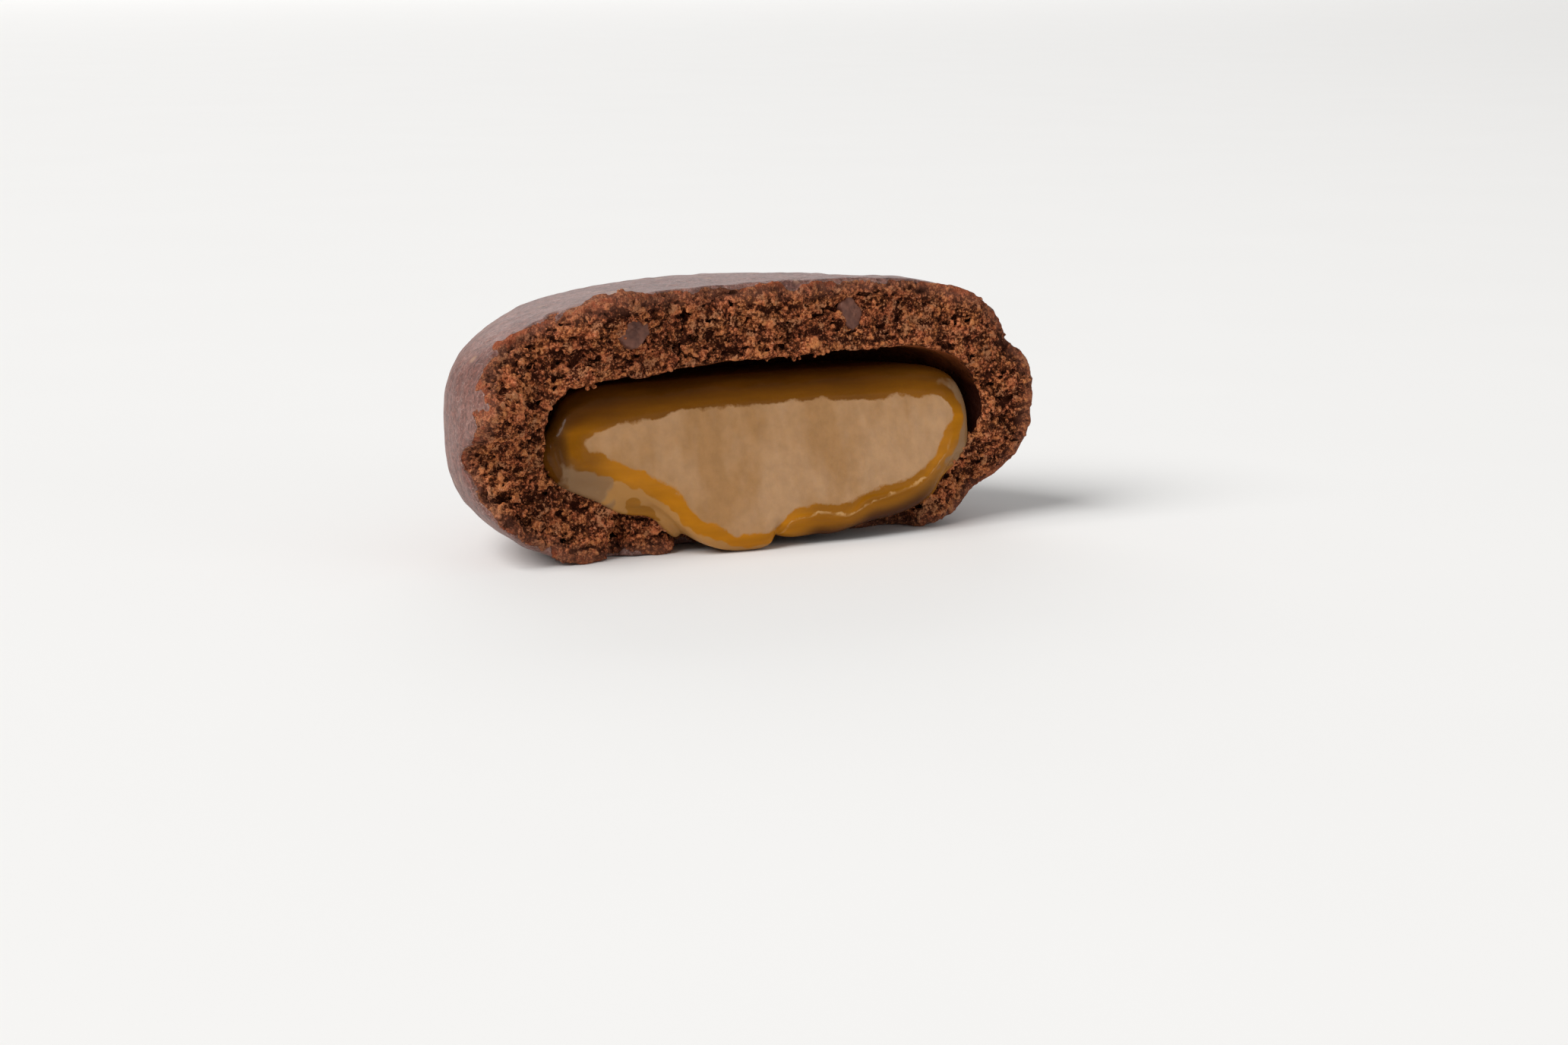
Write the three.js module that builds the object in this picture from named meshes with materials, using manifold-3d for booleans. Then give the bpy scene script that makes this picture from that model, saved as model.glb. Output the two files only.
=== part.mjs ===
// Half of a round filled cookie, torn open across the middle and lying flat on its baked base.
// Millimetres, +Z up. The torn face looks towards -Y, and the soft filling bulges out of it and
// runs down over the broken lower lip. The origin is on the base, under the middle of the piece.
import * as THREE from "three";
import { mergeVertices } from "three/addons/utils/BufferGeometryUtils.js";
import { ImprovedNoise } from "three/addons/math/ImprovedNoise.js";
import Module from "manifold-3d";

// Driving dimensions.
const COOKIE_RADIUS = 28.7;
const COOKIE_HEIGHT = 23.5;
const OFF_CENTRE = 1.4; // the tear runs this far behind the middle of the whole cookie
const WIDEST_HEIGHT = 11.2; // where the side bulges furthest out
const TOP_SQUARENESS = 2.95; // exponent of the rounded profile: 2 is an ellipse, more is squarer
const BASE_SQUARENESS = 2.8;
const BASE_CUT = 1.2; // how much of the round underside the baking tray flattened
const HOLLOW_DEPTH = 19.5; // how far the filling's hollow runs into the cookie
const HOLLOW_SQUARENESS = 2.4;
const CLEARANCE = 0.35; // gap between the filling and the cookie around it

// Outline of the hollow where it opens on the torn face, [x, z], clockwise from its left end.
const HOLLOW_OUTLINE = [
  [-21.3, 11.2],
  [-20.6, 13.6],
  [-18.6, 15.2],
  [-14, 15.7],
  [-7, 16.2],
  [3, 16.9],
  [11, 16.9],
  [17, 16.5],
  [21.1, 15],
  [23.1, 12],
  [22.5, 8.7],
  [20.3, 6.6],
  [18.4, 4.2],
  [12, 3.3],
  [2, 3.1],
  [-8, 3.5],
  [-13.3, 4.1],
  [-16, 5.9],
  [-19.6, 7.3],
  [-21, 9.2],
];
const HOLLOW_MIDDLE = [1, 10.2];

// The filling's bulge, clockwise from its left end: [rim x, rim z, face x, face z].
// The rim is where it meets the cookie or hangs free, and the face is the flat front of the bulge.
const FILLING_OUTLINE = [
  [-20.9, 9.9, -18, 10.5],
  [-20.2, 12, -17, 11.5],
  [-18.4, 14.2, -14.6, 11.9],
  [-13.5, 15, -11.6, 12.5],
  [-6, 15.1, -6, 12.6],
  [3.5, 15.2, 2, 12.8],
  [11, 15.1, 9.5, 12.7],
  [17.5, 14.8, 15.5, 12.4],
  [20.6, 13.6, 18.3, 11.7],
  [21.7, 11, 19.2, 10.3],
  [21.4, 8, 18.2, 8.5],
  [19.7, 6.2, 16.6, 7.1],
  [18.2, 4.6, 14.6, 5.5],
  [16.6, 2.9, 12.2, 4.7],
  [13.5, 1.8, 9.2, 4.3],
  [9.5, 1.3, 7.2, 3.3],
  [5.5, 0.5, 3.8, 3.4],
  [1.8, 0.4, 1, 3],
  [0.2, 0.7, -0.6, 2.2],
  [-1.5, 0.2, -2, 1.5],
  [-4.5, 0.2, -4.4, 1.7],
  [-7, 0.8, -6.6, 2.9],
  [-9.3, 2.6, -8.7, 4.7],
  [-11.2, 4.2, -10.8, 6.6],
  [-14, 4.6, -12.8, 7.9],
  [-16.4, 6, -14.8, 8.7],
  [-19.3, 7.3, -16.6, 9.4],
  [-20.6, 8.5, -17.6, 9.9],
];
const FILLING_MIDDLE = [1, 8.5];
const RIM_LEAN = { foot: -1.9, slope: 0.26 }; // y of the rim at z = 0, and how fast it leans back
const FACE_LEAN = { foot: -3.3, slope: 0.24 };
const FILLING_FLOOR = 4.1; // the filling reaches no lower than this inside the hollow
const DRIP_THICKNESS = 1.7; // from the rim back to the torn lip, where the filling hangs free

// Where the tear stands proud (negative depth) or is torn back (positive).
const TEAR_SWELLS = [
  { x: -29, z: 14.2, wide: 5, tall: 2.6, depth: -4 }, // tongue of crust at the left side
  { x: -27.5, z: 9.6, wide: 3, tall: 1.2, depth: 1.4 }, // notch under the tongue
  { x: -15, z: 23.5, wide: 5, tall: 4, depth: -2 }, // crust left standing on the upper left
  { x: -26, z: 3.6, wide: 4, tall: 2.8, depth: -2 }, // lower left corner
  { x: 28, z: 17.3, wide: 2.8, tall: 2, depth: 3.4 }, // bite missing from the right shoulder
  { x: 25, z: 3, wide: 4, tall: 3, depth: 2.2 }, // lower right corner
  { x: -14.4, z: 2.2, wide: 0.8, tall: 2, depth: 2.6 }, // crack beside the loose lump
];
const LIP = { from: -7.6, to: 15.4, top: 4.6, depth: 2.7 }; // lower wall torn back under the drip

const wasm = await Module();
wasm.setup();
const noise = new ImprovedNoise();
const { lerp, smoothstep, clamp } = THREE.MathUtils;

// A closed surface through rings of equal length, shut at both ends by a centre point.
function closedLoft(rings) {
  const count = rings[0].length;
  const points = rings.flat();
  const centre = (ring) => ring.reduce((sum, p) => sum.add(p), new THREE.Vector3()).divideScalar(count);
  const first = points.push(centre(rings[0])) - 1;
  const last = points.push(centre(rings[rings.length - 1])) - 1;
  const faces = [];
  for (let i = 0; i < count; i++) {
    const j = (i + 1) % count;
    faces.push(first, j, i);
    for (let r = 0; r + 1 < rings.length; r++) {
      const a = r * count + i;
      const b = r * count + j;
      faces.push(a, b, a + count, b, b + count, a + count);
    }
    const end = (rings.length - 1) * count;
    faces.push(last, end + i, end + j);
  }
  return new THREE.BufferGeometry().setFromPoints(points).setIndex(faces);
}

function solidOf(geometry) {
  const bare = new THREE.BufferGeometry().setAttribute("position", geometry.getAttribute("position"));
  const merged = mergeVertices(bare.setIndex(geometry.getIndex()), 1e-4);
  return new wasm.Manifold(
    new wasm.Mesh({
      numProp: 3,
      vertProperties: merged.getAttribute("position").array,
      triVerts: new Uint32Array(merged.getIndex().array),
    }),
  );
}

function meshOf(name, solid, material) {
  const { vertProperties, triVerts } = solid.getMesh();
  const geometry = new THREE.BufferGeometry();
  geometry.setAttribute("position", new THREE.BufferAttribute(vertProperties, 3));
  geometry.setIndex(new THREE.BufferAttribute(triVerts, 1));
  const mesh = new THREE.Mesh(geometry, material);
  mesh.name = name;
  return mesh;
}

// count points along the closed curve through [x, z] pairs, the same number between each two.
function outlinePoints(pairs, count) {
  const curve = new THREE.CatmullRomCurve3(
    pairs.map(([x, z]) => new THREE.Vector3(x, 0, z)),
    true,
  );
  return Array.from({ length: count }, (_, i) => curve.getPoint(i / count));
}

// The outline point p drawn in towards a middle by a share, pushed out by grow, at depth y.
function drawnIn(p, [mx, mz], share, grow, y) {
  const out = new THREE.Vector3(p.x - mx, 0, p.z - mz);
  out.setLength(out.length() * share + grow);
  return out.add(new THREE.Vector3(mx, y, mz));
}

// The whole round cookie: a squarish rounded profile turned about Z, flattened where it was baked.
function wholeCookie() {
  const steps = 24;
  const capHeight = COOKIE_HEIGHT - WIDEST_HEIGHT;
  const cupHeight = WIDEST_HEIGHT + BASE_CUT;
  const baseTurn = -Math.asin((WIDEST_HEIGHT / cupHeight) ** (BASE_SQUARENESS / 2));
  const profile = [new THREE.Vector2(0, 0)];
  for (let i = 0; i <= steps; i++) {
    const turn = lerp(baseTurn, Math.PI / 2, i / steps);
    const under = turn < 0;
    const power = 2 / (under ? BASE_SQUARENESS : TOP_SQUARENESS);
    const rise = (under ? -cupHeight : capHeight) * Math.abs(Math.sin(turn)) ** power;
    const radius = i === steps ? 0 : COOKIE_RADIUS * Math.cos(turn) ** power;
    profile.push(new THREE.Vector2(radius, i === 0 ? 0 : WIDEST_HEIGHT + rise));
  }
  const geometry = new THREE.LatheGeometry(profile, 64).rotateX(Math.PI / 2);
  const position = geometry.getAttribute("position");
  const point = new THREE.Vector3();
  for (let i = 0; i < position.count; i++) {
    point.fromBufferAttribute(position, i);
    const angle = Math.atan2(point.y, point.x);
    const swell = 1 + 0.006 * Math.cos(2 * angle + 0.5) + 0.005 * Math.cos(3 * angle + 2.2);
    const dent = 0.3 * noise.noise(point.x / 9, point.y / 9, 4.2) * (point.z / COOKIE_HEIGHT);
    position.setXYZ(i, point.x * swell, point.y * swell, point.z + dent);
  }
  return solidOf(geometry.translate(0, -OFF_CENTRE, 0));
}

// How far the torn face stands from the plane y = 0 at a place on it.
function tearDepth(x, z) {
  let depth = 0.9 * noise.noise(x / 7, z / 6, 1.7) + 0.7 * noise.noise(x / 2.4, z / 2.4, 8.3);
  for (const s of TEAR_SWELLS) {
    depth += s.depth * Math.exp(-(((x - s.x) / s.wide) ** 2) - ((z - s.z) / s.tall) ** 2);
  }
  const along = smoothstep(x, LIP.from - 2, LIP.from + 1) - smoothstep(x, LIP.to - 1, LIP.to + 2.5);
  const below = 1 - smoothstep(z, LIP.top - 1, LIP.top + 1.5);
  return depth + LIP.depth * along * below;
}

// Everything behind the tear, as a block to cut the whole cookie with.
function behindTheTear() {
  const width = 2 * COOKIE_RADIUS + 4;
  const depth = COOKIE_RADIUS + 4;
  const height = COOKIE_HEIGHT + 3;
  const geometry = new THREE.BoxGeometry(width, depth, height, 64, 1, 28);
  geometry.translate(0, depth / 2, COOKIE_HEIGHT / 2);
  const position = geometry.getAttribute("position");
  for (let i = 0; i < position.count; i++) {
    if (position.getY(i) < 1) position.setY(i, tearDepth(position.getX(i), position.getZ(i)));
  }
  return solidOf(geometry);
}

// Share of its opening's size that the hollow still has at a share of its depth.
function hollowShare(stop) {
  return (1 - clamp(stop, 0, 1) ** HOLLOW_SQUARENESS) ** (1 / HOLLOW_SQUARENESS);
}

function hollow() {
  const outline = outlinePoints(HOLLOW_OUTLINE, 60);
  const rings = [-0.4, 0, 0.2, 0.4, 0.58, 0.73, 0.85, 0.93, 0.98].map((stop) =>
    outline.map((p) => drawnIn(p, HOLLOW_MIDDLE, hollowShare(stop), 0, stop * HOLLOW_DEPTH)),
  );
  return solidOf(closedLoft(rings));
}

// The filling: a bulge with a flat face and rounded edge, then the body lying in the hollow with
// air above it. grow makes it larger all round, for cutting its own room out of the cookie.
function filling(grow) {
  const count = 84;
  const rim = outlinePoints(FILLING_OUTLINE.map(([x, z]) => [x, z]), count);
  const face = outlinePoints(FILLING_OUTLINE.map(([, , x, z]) => [x, z]), count);
  const lean = ({ foot, slope }, z) => foot + slope * z;

  const bulgeRing = (share, roundness) =>
    rim.map((outer, i) => {
      const turn = (roundness * Math.PI) / 2;
      const edge = face[i].clone().lerp(outer, Math.sin(turn));
      const p = drawnIn(edge, FILLING_MIDDLE, share, grow * Math.sin(turn), 0);
      const front = lerp(lean(RIM_LEAN, p.z), lean(FACE_LEAN, p.z), Math.cos(turn));
      return p.setY(front - grow * Math.cos(turn));
    });
  const backOfDrip = (p) => Math.max(lean(RIM_LEAN, p.z) + DRIP_THICKNESS, 0.6) + grow;
  const bodyRing = (stop) =>
    rim.map((outer) => {
      const p = new THREE.Vector3(outer.x, 0, Math.max(outer.z, FILLING_FLOOR));
      const depth = (HOLLOW_DEPTH - 2 * CLEARANCE) * stop + grow;
      const share = 0.99 * hollowShare(stop);
      return drawnIn(p, HOLLOW_MIDDLE, share, grow, Math.max(depth, backOfDrip(outer) + 0.3 + stop));
    });
  return solidOf(
    closedLoft([
      bulgeRing(0.6, 0),
      bulgeRing(1, 0),
      bulgeRing(1, 0.3),
      bulgeRing(1, 0.62),
      bulgeRing(1, 1),
      rim.map((outer) => drawnIn(outer, FILLING_MIDDLE, 0.985, grow, backOfDrip(outer))),
      ...[0, 0.25, 0.42, 0.58, 0.73, 0.85, 0.94, 0.99].map(bodyRing),
    ]),
  );
}

function cookieHalf() {
  return wholeCookie().intersect(behindTheTear()).subtract(hollow()).subtract(filling(CLEARANCE));
}

const crust = new THREE.MeshStandardMaterial({ color: 0x6a4338, roughness: 0.85, metalness: 0 });
const caramel = new THREE.MeshStandardMaterial({ color: 0xb07a35, roughness: 0.25, metalness: 0 });

const part = new THREE.Group();
part.add(meshOf("cookie_half", cookieHalf(), crust), meshOf("caramel_filling", filling(0), caramel));

// The bounding box's middle goes over the origin, and the base stands at z = 0.
const middle = new THREE.Box3().setFromObject(part, true).getCenter(new THREE.Vector3());
part.position.set(-middle.x, -middle.y, 0);

export default part;
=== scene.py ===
"""Half of a filled cacao cookie, torn open: its dough, caramel and chocolate, and a studio round them.

The builders work in millimetres, and the finished meshes are in metres.
"""

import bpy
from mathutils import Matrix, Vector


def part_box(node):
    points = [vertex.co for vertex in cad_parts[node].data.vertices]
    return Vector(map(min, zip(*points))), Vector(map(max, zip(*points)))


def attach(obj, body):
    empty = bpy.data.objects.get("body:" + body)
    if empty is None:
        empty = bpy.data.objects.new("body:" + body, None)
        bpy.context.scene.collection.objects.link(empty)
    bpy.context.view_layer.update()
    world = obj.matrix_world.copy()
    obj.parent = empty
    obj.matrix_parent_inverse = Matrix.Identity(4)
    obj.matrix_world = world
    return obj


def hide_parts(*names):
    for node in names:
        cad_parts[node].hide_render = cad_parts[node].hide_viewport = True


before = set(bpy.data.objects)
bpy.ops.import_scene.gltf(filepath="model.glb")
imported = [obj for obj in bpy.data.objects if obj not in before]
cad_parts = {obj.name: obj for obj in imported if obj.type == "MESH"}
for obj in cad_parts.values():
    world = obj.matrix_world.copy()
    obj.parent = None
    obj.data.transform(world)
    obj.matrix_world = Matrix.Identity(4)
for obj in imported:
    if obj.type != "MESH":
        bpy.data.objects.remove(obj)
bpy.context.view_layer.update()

import copy
import math

import bmesh
import bpy
import numpy as np
import openvdb
from bpy.props import FloatProperty, FloatVectorProperty, IntProperty, PointerProperty
from mathutils import Vector, noise
from mathutils.bvhtree import BVHTree

bl_info = {
    "name": "Filled cacao cookie",
    "version": (1, 0, 0),
    "blender": (4, 5, 0),
    "location": "View3D > Sidebar > Cacao cookie",
    "description": "Dresses a torn cookie half and its caramel filling for a studio picture",
    "category": "Object",
}

MM = 0.001
COOKIE = "cookie_half"
FILLING = "caramel_filling"
BODY = "root"
COOKIE_LOW, COOKIE_HIGH = (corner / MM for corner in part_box(COOKIE))
FILLING_LOW, FILLING_HIGH = (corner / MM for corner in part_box(FILLING))

# The tear and what opens in it, in millimetres.
TEAR_Y = FILLING_LOW.y + 3.0  # middle plane of the torn face, just behind the filling's bulge
TEAR_SWELL = 3.2  # the torn face stays within this of its middle plane
CRUMB_BACK = TEAR_Y + TEAR_SWELL + 1.0  # no crumb lies behind this
READ_BACK = CRUMB_BACK - 0.2  # the front's last cubes lie behind this, and nothing is read from them
SKIN_DENTS = 0.35  # the skin stays within this of the smallest convex shape round the cookie
OPENING_SIDE = 2.0  # the hollow's opening ends within this of the filling's ends
OPENING_TOP = 2.5  # and within this of the filling's top

# Slopes from what isn't torn to what is: by how much nearer the tear is than the skin or the hollow.
TORN_BY_SKIN = (-0.3, 0.1)
TORN_BY_HOLLOW = (-0.5, -0.1)
# And from the edge of the tear to its rough inside: by how far off the skin or the hollow is.
INNER_BY_SKIN = (0.1, 1.1)
INNER_BY_HOLLOW = (0.1, 0.6)

# Dough and caramel close the clearance between the solids, in millimetres.
DOUGH_GROWS = 0.3  # how far the dough grows towards the filling
NEAR_FILLING = (0.9, 0.4)  # how near it starts to, and how near it does so in full
CARAMEL_CLINGS = (0.45, 0.4)  # how near both have to be, and how much less so low down and at the left

# Soft lumps: half their width, and how far they move the surface, in millimetres.
SKIN_WAVES = (4.0, 0.06)
SKIN_BUMPS = (0.8, 0.025)
EDGE_WANDER = (1.1, 0.22)  # how the line where the skin is torn off strays
EDGE_NIBBLES = (0.4, 0.1)
TEAR_WAVES = (3.0, 0.18)
CRUMB_LUMPS = (0.85, 0.1)
CRUMB_CLUMPS = (0.36, 0.06)
CRUMB_GRIT = (0.17, 0.08)
CARAMEL_WAVES = (3.0, 0.04)
RIDGE_WANDER = (2.5, 0.15)  # how the low ridge on the caramel's lower slope strays
LAYERED = (1.4, 1, 0.8)  # the crumb's lumps are wider than they are high

# Cracks and sunken patches of the crumb: half the width of the lumps they follow, and their depth.
CRACKS = ((0.5, 0.2), (0.25, 0.08))
SUNKEN = (0.9, 0.4)

# Balls cut out of the crumb or set on it: clusters in a cubic millimetre, balls in a cluster, how far they
# spread, and their least and greatest radius.
HOLES = (0.12, 6, 0.24, 0.1, 0.24)
PITS = (0.13, 9, 0.34, 0.18, 0.4)
CHIPS = (5, 1, 0, 0.1, 0.22)
GRAINS = (26, 1, 0, 0.12, 0.23)
AT_SURFACE = 0.1  # cubes within this of the crumb's surface are on it
GRAIN_RISE = (0.06, 0.4)  # how far a grain may stand out at the skin, and how much further inside the tear
CRUMB_RELIEF = 0.12  # how far the crumb's tips stand out from the crumb round them
CRUMB_SINKS = 0.5  # how deep its larger hollows lie below the tear

# Chocolate pieces in the torn face: how far right and up each lies, and how far it reaches from its middle.
CHOCOLATE = ((-13.3, 20.0, 1.6), (9.4, 20.1, 1.5))
CHOCOLATE_SEAT = 0.64  # radius of the dent that a piece sits in, as a share of its reach
CHOCOLATE_SUNK = 0.3  # how deep its middle lies, as a share of its reach
CHOCOLATE_SIDES = 8
CHOCOLATE_EDGE = 40  # the higher, the sharper the edges between a piece's sides

# The caramel, in millimetres.
CARAMEL_CUBE = 0.18  # edge of the cubes that it is built from
LIP_END = 0.1  # how far right the tongue of caramel over the lip ends
LIP_CREASE = 0.45  # depth of the crease that it ends in
LIP_STEP = 0.3  # how far the caramel stands back to the right of it
LIP_RIDGE = 0.16  # height of the low ridge along the lower slope

# Studio. The camera looks at AIM, and the lights at LIT, both in millimetres.
AIM = (4.25, -8.0, 1.06)
LIT = (0, -10, 10)
LENS = 76.13  # focal length and sensor width in millimetres
SENSOR = 36
FLOOR_SIDE = 10  # metres
# Light panels: bearing and height in degrees, then distance, width and height in metres.
PANELS = {
    "key": (-80, 42, 8.0, 5.2, 5.2),
    "window": (30, 13, 0.6, 0.35, 0.3),
    "back": (160, 22, 4.0, 3.0, 1.5),
}


def linear(code):
    """A colour given as an sRGB hex code, in the linear values that sockets hold."""
    channels = [int(code[i : i + 2], 16) / 255 for i in (0, 2, 4)]
    return [c / 12.92 if c <= 0.04045 else ((c + 0.055) / 1.055) ** 2.4 for c in channels]


# ------------ settings


class CookieSettings(bpy.types.PropertyGroup):
    cube: FloatProperty(
        name="Cube size",
        description="Edge of the cubes that the dough is built from; smaller shows finer crumb",
        default=0.13 * MM,
        unit="LENGTH",
        precision=5,
    )
    share: FloatProperty(
        name="Triangles kept",
        description="Share of the dough's triangles that are kept",
        default=0.5,
        min=0.1,
        max=1,
        subtype="FACTOR",
    )
    seed: IntProperty(name="Seed", description="Picks another crumb", default=7)
    skin: FloatVectorProperty(
        name="Skin",
        description="Baked outside, in its lighter clouds",
        default=linear("815B51"),
        subtype="COLOR",
    )
    crumb: FloatVectorProperty(
        name="Crumb",
        description="Torn dough where it stands out",
        default=linear("985A3A"),
        subtype="COLOR",
    )
    # Its own dark colour down in the pores, with painted shade in it
    crumb_pore_shade: FloatVectorProperty(
        name="Crumb, deep",
        description="Torn dough down in its pores",
        default=linear("361407"),
        subtype="COLOR",
    )
    chocolate: FloatVectorProperty(
        name="Chocolate",
        description="Chocolate pieces in the crumb",
        default=linear("5A382E"),
        subtype="COLOR",
    )
    # The flat face's pale tan is partly its own colour and partly a painted reflection of the front light.
    caramel: FloatVectorProperty(
        name="Caramel",
        description="Flat face, in its lighter clouds",
        default=linear("B99068"),
        subtype="COLOR",
    )
    amber: FloatVectorProperty(
        name="Amber",
        description="Clear slopes round the flat face",
        default=linear("B27008"),
        subtype="COLOR",
    )


class StudioSettings(bpy.types.PropertyGroup):
    azimuth: FloatProperty(
        name="Azimuth",
        description="Camera's bearing, from the front towards the right",
        default=math.radians(-30),
        subtype="ANGLE",
    )
    elevation: FloatProperty(
        name="Elevation",
        description="Camera's height over the level",
        default=math.radians(10),
        subtype="ANGLE",
    )
    distance: FloatProperty(
        name="Distance",
        description="From the camera to the cookie",
        default=0.3,
        unit="LENGTH",
    )
    key: FloatProperty(
        name="Key light",
        description="Brightness that it gives a white card",
        default=1.1,
        min=0,
    )
    window: FloatProperty(
        name="Front light",
        description="Brightness of the panel beside the camera",
        default=0.9,
        min=0,
    )
    back: FloatProperty(
        name="Back light",
        description="Brightness of the panel behind the cookie",
        default=2.0,
        min=0,
    )
    sky: FloatProperty(
        name="Room light",
        description="Brightness of the pale room",
        default=0.3,
        min=0,
    )
    floor: FloatVectorProperty(
        name="Floor",
        description="Pale floor",
        default=linear("F2F1EF"),
        subtype="COLOR",
    )


# ------------ voxels, in millimetres


class Block:
    """A box of space cut into cubes, on which solids are sampled."""

    def __init__(self, low, high, step):
        self.step = step
        self.first = np.floor(np.array(low) / step).astype(int)
        self.shape = tuple(np.ceil(np.array(high) / step).astype(int) - self.first + 1)

    def in_front_of(self, y):
        """The same cubes, without those that lie behind y."""
        front = copy.copy(self)
        front.shape = (self.shape[0], int(y / self.step - self.first[1]), self.shape[2])
        return front

    def axes(self):
        return [(self.first[a] + np.arange(self.shape[a])) * self.step for a in range(3)]

    def cells(self, points):
        return np.asarray(points) / self.step - self.first

    def points(self, cells):
        return (np.asarray(cells) + self.first) * self.step

    def read(self, values, points):
        """values at any points, worked out from the eight nearest cubes."""
        # Just short of the last cube, so that there is always one beyond.
        at = np.clip(self.cells(points), 0, np.array(self.shape) - 1.001)
        low = at.astype(int)
        part = at - low
        total = np.zeros(len(at))
        for corner in range(8):
            shift = np.array([corner >> 2 & 1, corner >> 1 & 1, corner & 1])
            i, j, k = (low + shift).T
            total += np.prod(np.where(shift == 1, part, 1 - part), axis=1) * values[i, j, k]
        return total


def points_of(mesh):
    """The mesh's points in millimetres."""
    points = np.empty(len(mesh.vertices) * 3, np.float32)
    mesh.vertices.foreach_get("co", points)
    return points.reshape(-1, 3) / MM


def triangles_of(mesh):
    """The mesh's points in millimetres, and the three corners of each of its triangles."""
    mesh.calc_loop_triangles()
    corners = np.empty(len(mesh.loop_triangles) * 3, np.int32)
    mesh.loop_triangles.foreach_get("vertices", corners)
    return points_of(mesh), corners.reshape(-1, 3)


def normals_of(points, corners):
    """Each triangle's outward direction, and twice its area."""
    a, b, c = (points[corners[:, i]] for i in range(3))
    normals = np.cross(b - a, c - a)
    sizes = np.linalg.norm(normals, axis=1)
    return normals / np.maximum(sizes, 1e-9)[:, None], sizes


def signed_distance(mesh, block, reach):
    """How far each cube is from the mesh's surface, up to reach, and negative inside."""
    points, corners = triangles_of(mesh)
    level = openvdb.FloatGrid.createLevelSetFromPolygons(
        (points / block.step).astype(np.float32),
        triangles=corners.astype(np.uint32),
        halfWidth=reach / block.step,
    )
    values = np.zeros(block.shape, np.float32)
    level.copyToArray(values, ijk=tuple(int(i) for i in block.first))
    return values * block.step


def softened(values, block, spread):
    """values blurred over spread millimetres, which rounds off facets and sharp edges."""
    spread /= block.step
    reach = math.ceil(2.2 * spread)  # where the weights have fallen under a tenth
    weights = np.exp(-0.5 * (np.arange(-reach, reach + 1) / spread) ** 2)
    weights = (weights / weights.sum()).astype(np.float32)
    for axis in range(3):
        size = values.shape[axis]
        padded = np.pad(values, [(reach, reach) if a == axis else (0, 0) for a in range(3)], mode="edge")
        values = np.zeros_like(values)
        for i, weight in enumerate(weights):
            values += weight * padded[(slice(None),) * axis + (slice(i, i + size),)]
    return values


def lumps(block, size, height, rng, stretch=(1, 1, 1)):
    """Soft random lumps about twice size across all over the block, of mean 0 and spread height."""
    weights = []
    for cubes, longer in zip(block.shape, stretch):
        at = np.arange(cubes) * block.step / (size * longer)
        base = at.astype(int)
        t = at - base
        # Shares of the four nearest random numbers: a cubic B-spline.
        shares = ((1 - t) ** 3, 3 * t**3 - 6 * t**2 + 4, -3 * t**3 + 3 * t**2 + 3 * t + 1, t**3)
        matrix = np.zeros((cubes, base[-1] + 4), np.float32)
        for shift, share in enumerate(shares):
            matrix[np.arange(cubes), base + shift] = share / 6
        weights.append(matrix)
    values = rng.standard_normal([w.shape[1] for w in weights]).astype(np.float32)
    for axis, matrix in enumerate(weights):
        values = np.moveaxis(np.tensordot(matrix, values, axes=(1, axis)), 0, axis)
    return values * (height / values.std())


def rise(values, low, high):
    """0 at low, 1 at high, with a soft slope between. low may be the greater."""
    t = np.clip((values - low) / (high - low), 0, 1)
    return t * t * (3 - 2 * t)


def ridge(values, middle, width):
    """1 where values equal middle, falling to nearly 0 at twice width from it."""
    return np.exp(-(((values - middle) / width) ** 2))


def clusters(where, recipe, block, rng):
    """Middles and radii of balls in clusters, which start in cubes that where picks."""
    density, count, spread, least, greatest = recipe
    found = np.flatnonzero(where & (rng.random(where.shape, np.float32) < density * block.step**3))
    cells = np.stack(np.unravel_index(found, where.shape), axis=1)
    middles = block.points(cells + rng.uniform(-0.5, 0.5, cells.shape))
    if count > 1:
        middles = np.repeat(middles, count, axis=0)
        middles += rng.normal(0, spread, middles.shape)
    return middles, rng.uniform(least, greatest, len(middles))


def stamp_balls(values, block, middles, radii, carve):
    """Adds balls to the solid in values, or carves them out of it."""
    for middle, radius in zip(block.cells(middles), np.asarray(radii) / block.step):
        reach = radius + 1.5  # in cubes, with room for the ball's surface
        low = np.maximum(np.ceil(middle - reach).astype(int), 0)
        high = np.minimum(np.floor(middle + reach).astype(int) + 1, block.shape)
        if (low >= high).any():
            continue
        x, y, z = (np.arange(low[a], high[a], dtype=np.float32) - middle[a] for a in range(3))
        away = np.sqrt(x[:, None, None] ** 2 + y[None, :, None] ** 2 + z[None, None, :] ** 2)
        ball = ((away - radius) * block.step).astype(np.float32)
        part = values[low[0] : high[0], low[1] : high[1], low[2] : high[2]]
        if carve:
            np.maximum(part, -ball, out=part)
        else:
            np.minimum(part, ball, out=part)


def gaps(tree, points):
    """Distance from each point to the tree's nearest face."""
    return np.array([tree.find_nearest(point)[3] for point in points], np.float32)


def gap_field(tree, block, coarse):
    """The same distance all over the block, taken at every coarse-th cube and filled in between."""
    axes = block.axes()
    knots = [np.append(np.arange(0, n - 1, coarse), n - 1) for n in block.shape]
    spots = np.stack(np.meshgrid(*(axes[a][knots[a]] for a in range(3)), indexing="ij"), axis=-1)
    values = gaps(tree, spots.reshape(-1, 3)).reshape(spots.shape[:3])
    for axis in range(3):
        fine = np.arange(block.shape[axis])
        right = np.clip(np.searchsorted(knots[axis], fine, side="right"), 1, len(knots[axis]) - 1)
        low, high = knots[axis][right - 1], knots[axis][right]
        part = ((fine - low) / (high - low)).astype(np.float32)
        part = part.reshape([-1 if a == axis else 1 for a in range(3)])
        values = np.take(values, right - 1, axis) * (1 - part) + np.take(values, right, axis) * part
    return values


# ------------ meshes


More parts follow.
